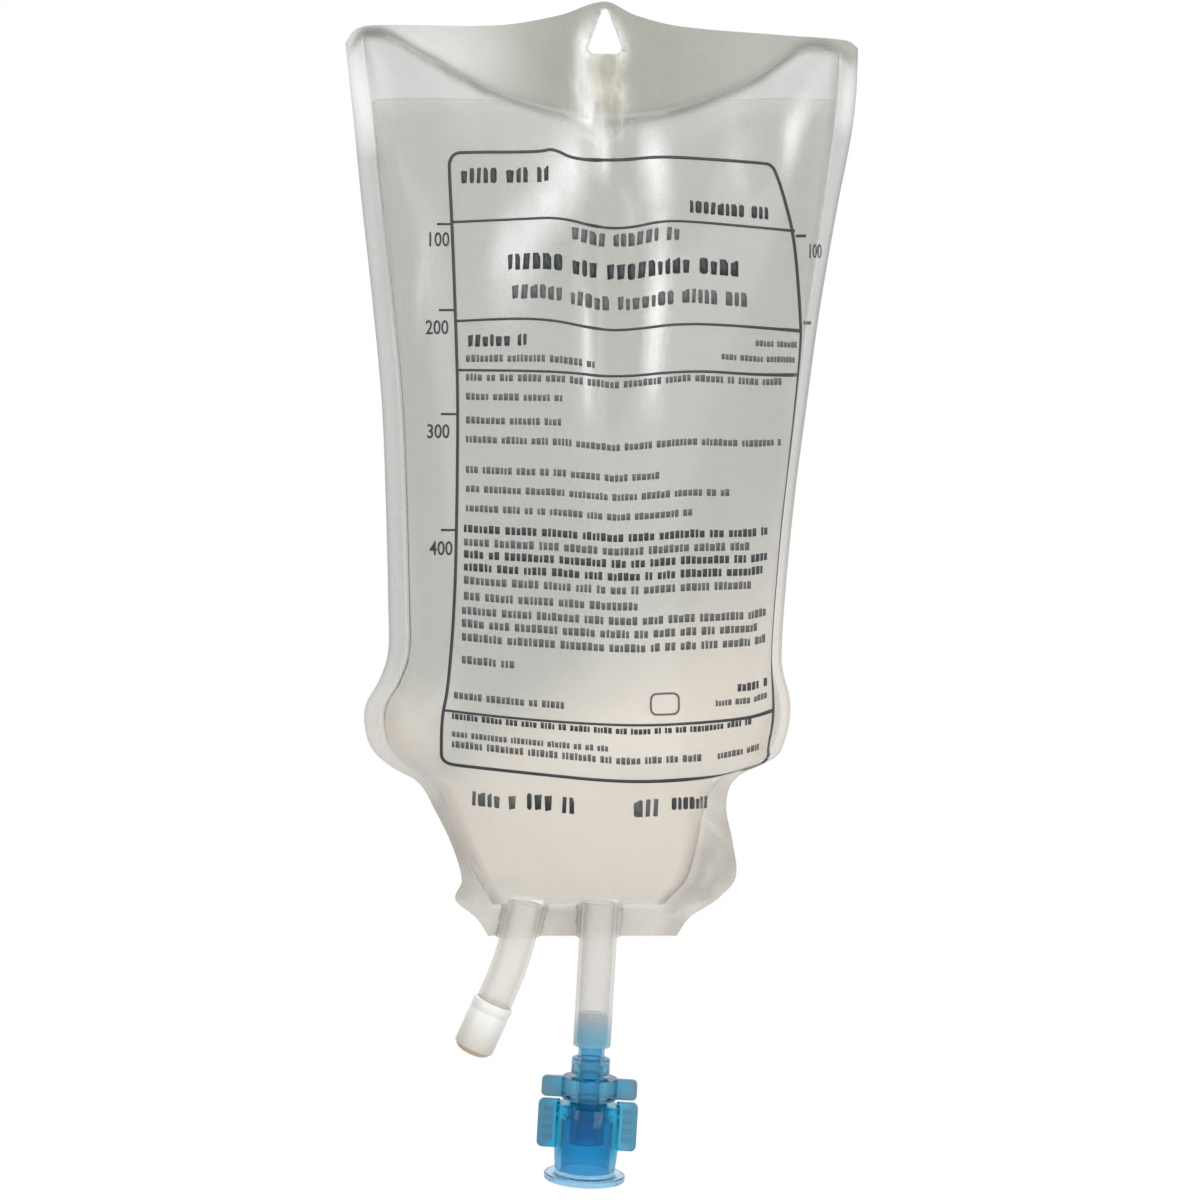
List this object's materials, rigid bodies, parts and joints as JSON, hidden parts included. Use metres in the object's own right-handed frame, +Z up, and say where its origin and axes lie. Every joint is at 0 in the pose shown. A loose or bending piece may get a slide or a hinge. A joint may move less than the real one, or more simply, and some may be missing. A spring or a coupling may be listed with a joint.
{
  "type": "iv fluid bag",
  "caption": "Clear infusion fluid bag with hanger hole, welded film, liquid fill, bent injection port and spike port closed by a winged pull-off cap.",
  "frame": {"origin": "where a hook bears at the top of the hanger hole, in the middle of the film's thickness", "axes": "+Z up, against the pull of the hanging bag; the printed front faces -Y; +X to the right seen from the front"},
  "size_m": [0.126, 0.0549, 0.292],
  "materials": {
    "clear_film": "soft clear plastic film, faintly cloudy",
    "saline": "clear water-like liquid",
    "clear_tube": "soft clear plastic tube, slightly cloudy",
    "blue_port": "translucent deep blue moulded plastic",
    "blue_cap": "translucent blue moulded plastic",
    "white_sleeve": "whitish soft plastic",
    "latex": "beige latex-like rubber"
  },
  "bodies": {
    "bag": {"film_front": "clear_film", "film_back": "clear_film", "saline": "saline", "administration_port_tube": "clear_tube", "spike_port": "blue_port", "injection_port_tube": "clear_tube", "injection_site_sleeve": "white_sleeve", "injection_septum": "latex"},
    "cap": {"twist_off_cap": "blue_cap"}
  },
  "joints": [
    {"name": "cap_pull_off", "type": "slide", "parent": "bag", "child": "cap", "axis": [-0.0576, 0, -0.9983], "range_m": [0, 0.03]}
  ]
}
